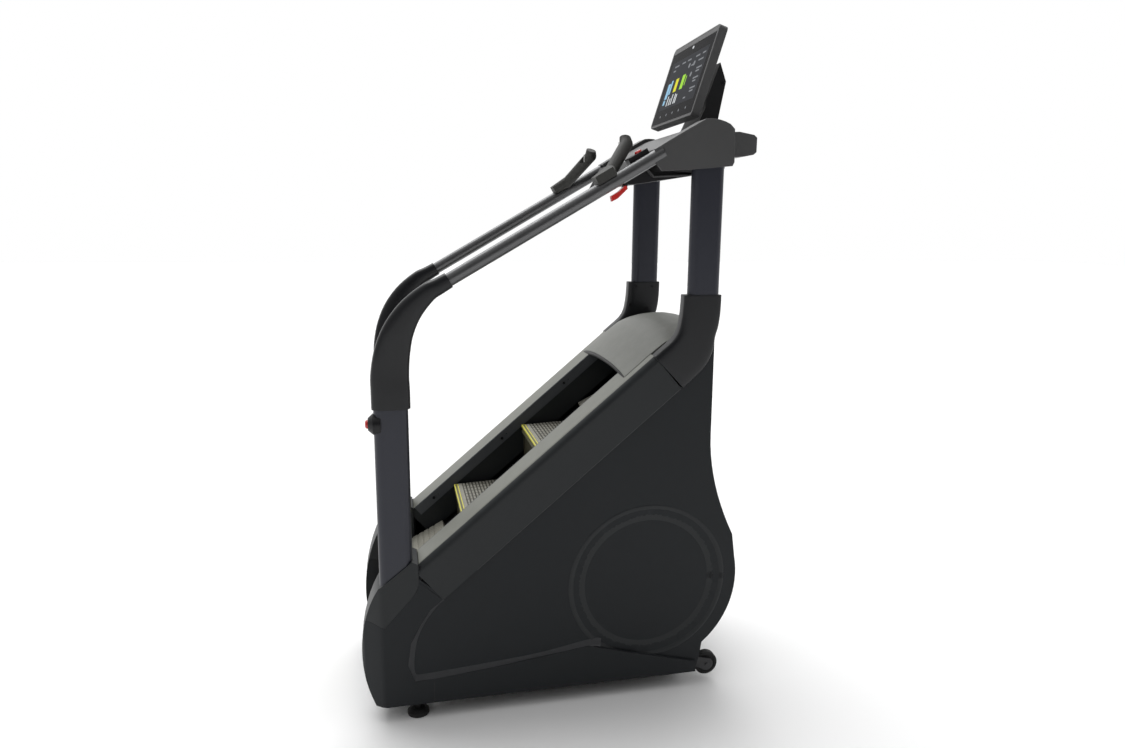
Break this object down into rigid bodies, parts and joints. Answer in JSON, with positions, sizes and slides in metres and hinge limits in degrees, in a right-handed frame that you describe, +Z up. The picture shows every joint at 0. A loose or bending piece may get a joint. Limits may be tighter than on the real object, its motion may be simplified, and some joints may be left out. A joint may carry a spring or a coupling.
{
  "type": "stair climber",
  "caption": "Step-mill stair climber with a moving flight between moulded side shells, sloping handrails, a console with a touch display, and transport wheels.",
  "frame": {"origin": "on the floor, at the middle of the machine's overall length and width", "axes": "+Y is the way the climber faces (entry end at -Y, console end at +Y), +X is the climber's right, +Z is up"},
  "size_m": [0.655, 1.2502, 2.1279],
  "materials": {
    "frame_steel": "satin black powder coat",
    "foot": "moulded",
    "wheel": "moulded",
    "panel": "fine grain",
    "cover": "fine grain",
    "guard": "fine grain",
    "hood": "fine grain",
    "post": "fine satin navy-grey coat",
    "rail": "satin metallic coat",
    "sleeve": "smooth satin",
    "console": "fine grain",
    "dark_plastic": "fine grain",
    "glass": "polished black",
    "grip": "soft touch",
    "switch": "semi-gloss",
    "red": "semi-gloss red",
    "tread": "ribbed",
    "carrier": "moulded",
    "nose": "moulded, with a dark groove",
    "steel": "turned",
    "chain": "oiled",
    "rotor": "turned",
    "belt": "ribbed"
  },
  "bodies": {
    "machine": {"base_frame": "frame_steel", "shaft_plates": "frame_steel", "levelling_feet": "foot", "wheel_bracket": "frame_steel", "side_panel_right": "panel", "side_panel_left": "panel", "stringer_cover_right": "cover", "stringer_cover_left": "cover", "side_skirt_right": "panel", "side_skirt_left": "panel", "corner_cover_right": "cover", "corner_cover_left": "cover", "inner_guard_right": "guard", "inner_guard_left": "guard", "kick_panel": "dark_plastic", "top_hood": "hood", "rear_cover": "panel", "entry_post_right": "post", "entry_post_left": "post", "handrail_sleeve_right": "sleeve", "handrail_sleeve_left": "sleeve", "handrail_right": "rail", "handrail_left": "rail", "console_post_right": "post", "console_post_left": "post", "post_sleeve_right": "sleeve", "post_sleeve_left": "sleeve", "console_shell": "console", "console_underside": "dark_plastic", "console_rear_box": "dark_plastic", "display_bracket": "dark_plastic", "display_housing": "dark_plastic", "display_glass": "glass", "grip_right": "grip", "grip_left": "grip", "control_pod": "dark_plastic", "post_stop_housing": "dark_plastic", "bearings": "steel", "step_chains": "chain", "guide_rails": "chain", "drive_belt": "belt", "brake_magnet": "steel"},
    "upper_run": {"treads_upper_run": "tread", "carriers_upper_run": "carrier", "noses_upper_run": "nose"},
    "return_run": {"steps_return_run": "tread"},
    "upper_turn": {"step_top_turn": "tread", "upper_shaft": "steel"},
    "lower_turn": {"tread_bottom_turn": "tread", "carrier_bottom_turn": "carrier", "nose_bottom_turn": "nose", "lower_shaft": "steel"},
    "brake_rotor": {"flywheel": "rotor"},
    "console_stop": {"stop_button": "red"},
    "post_stop": {"post_stop_button": "red"},
    "rocker_switch_right": {"rocker_right": "switch"},
    "rocker_switch_left": {"rocker_left": "switch"},
    "hand_brake": {"brake_lever": "red"},
    "wheel_right": {"transport_wheel_right": "wheel"},
    "wheel_left": {"transport_wheel_left": "wheel"}
  },
  "joints": [
    {"name": "stair_travel", "type": "slide", "parent": "machine", "child": "upper_run", "axis": [0, -0.7621, -0.6475], "range_m": [-0.045, 0.117]},
    {"name": "return_travel", "type": "slide", "parent": "machine", "child": "return_run", "axis": [0, 0.7621, 0.6475], "range_m": [-0.0455, 0.1175]},
    {"name": "upper_turn", "type": "hinge", "parent": "machine", "child": "upper_turn", "pos_m": [0, 0.23836, 0.78644], "axis": [1, 0, 0], "range_deg": [-25.2, 65.2]},
    {"name": "lower_turn", "type": "hinge", "parent": "machine", "child": "lower_turn", "pos_m": [0, -0.37894, 0.262], "axis": [1, 0, 0], "range_deg": [-25.2, 65.2]},
    {"name": "rotor_spin", "type": "hinge", "parent": "machine", "child": "brake_rotor", "pos_m": [0.256, 0.28206, 0.388], "axis": [1, 0, 0], "range_deg": [-92.5, 239.5]},
    {"name": "console_stop_press", "type": "slide", "parent": "machine", "child": "console_stop", "axis": [0, 0.5038, -0.8638], "range_m": [0, 0.003], "stiffness_N_per_m": 600},
    {"name": "post_stop_press", "type": "slide", "parent": "machine", "child": "post_stop", "axis": [0, 1, 0], "range_m": [0, 0.003], "stiffness_N_per_m": 600},
    {"name": "rocker_right_tilt", "type": "hinge", "parent": "machine", "child": "rocker_switch_right", "pos_m": [0.218, 0.18406, 1.756], "axis": [1, 0, 0], "range_deg": [-4, 4], "stiffness_Nm_per_rad": 0.5},
    {"name": "rocker_left_tilt", "type": "hinge", "parent": "machine", "child": "rocker_switch_left", "pos_m": [-0.218, 0.18406, 1.756], "axis": [1, 0, 0], "range_deg": [-4, 4], "stiffness_Nm_per_rad": 0.5},
    {"name": "hand_brake_pull", "type": "hinge", "parent": "machine", "child": "hand_brake", "pos_m": [0.29, 0.17706, 1.634], "axis": [1, 0, 0], "range_deg": [-12, 0], "stiffness_Nm_per_rad": 1.5, "springref_deg": 2.86},
    {"name": "wheel_right_roll", "type": "hinge", "parent": "machine", "child": "wheel_right", "pos_m": [0.2625, 0.50706, 0.06], "axis": [1, 0, 0], "continuous": true},
    {"name": "wheel_left_roll", "type": "hinge", "parent": "machine", "child": "wheel_left", "pos_m": [-0.2625, 0.50706, 0.06], "axis": [1, 0, 0], "continuous": true}
  ],
  "couplings": [
    {"joint": "return_travel", "follows": "stair_travel", "ratio": 1},
    {"joint": "upper_turn", "follows": "stair_travel", "rad_per_m": 9.6963},
    {"joint": "lower_turn", "follows": "stair_travel", "rad_per_m": 9.6963},
    {"joint": "rotor_spin", "follows": "stair_travel", "rad_per_m": 35.553}
  ]
}
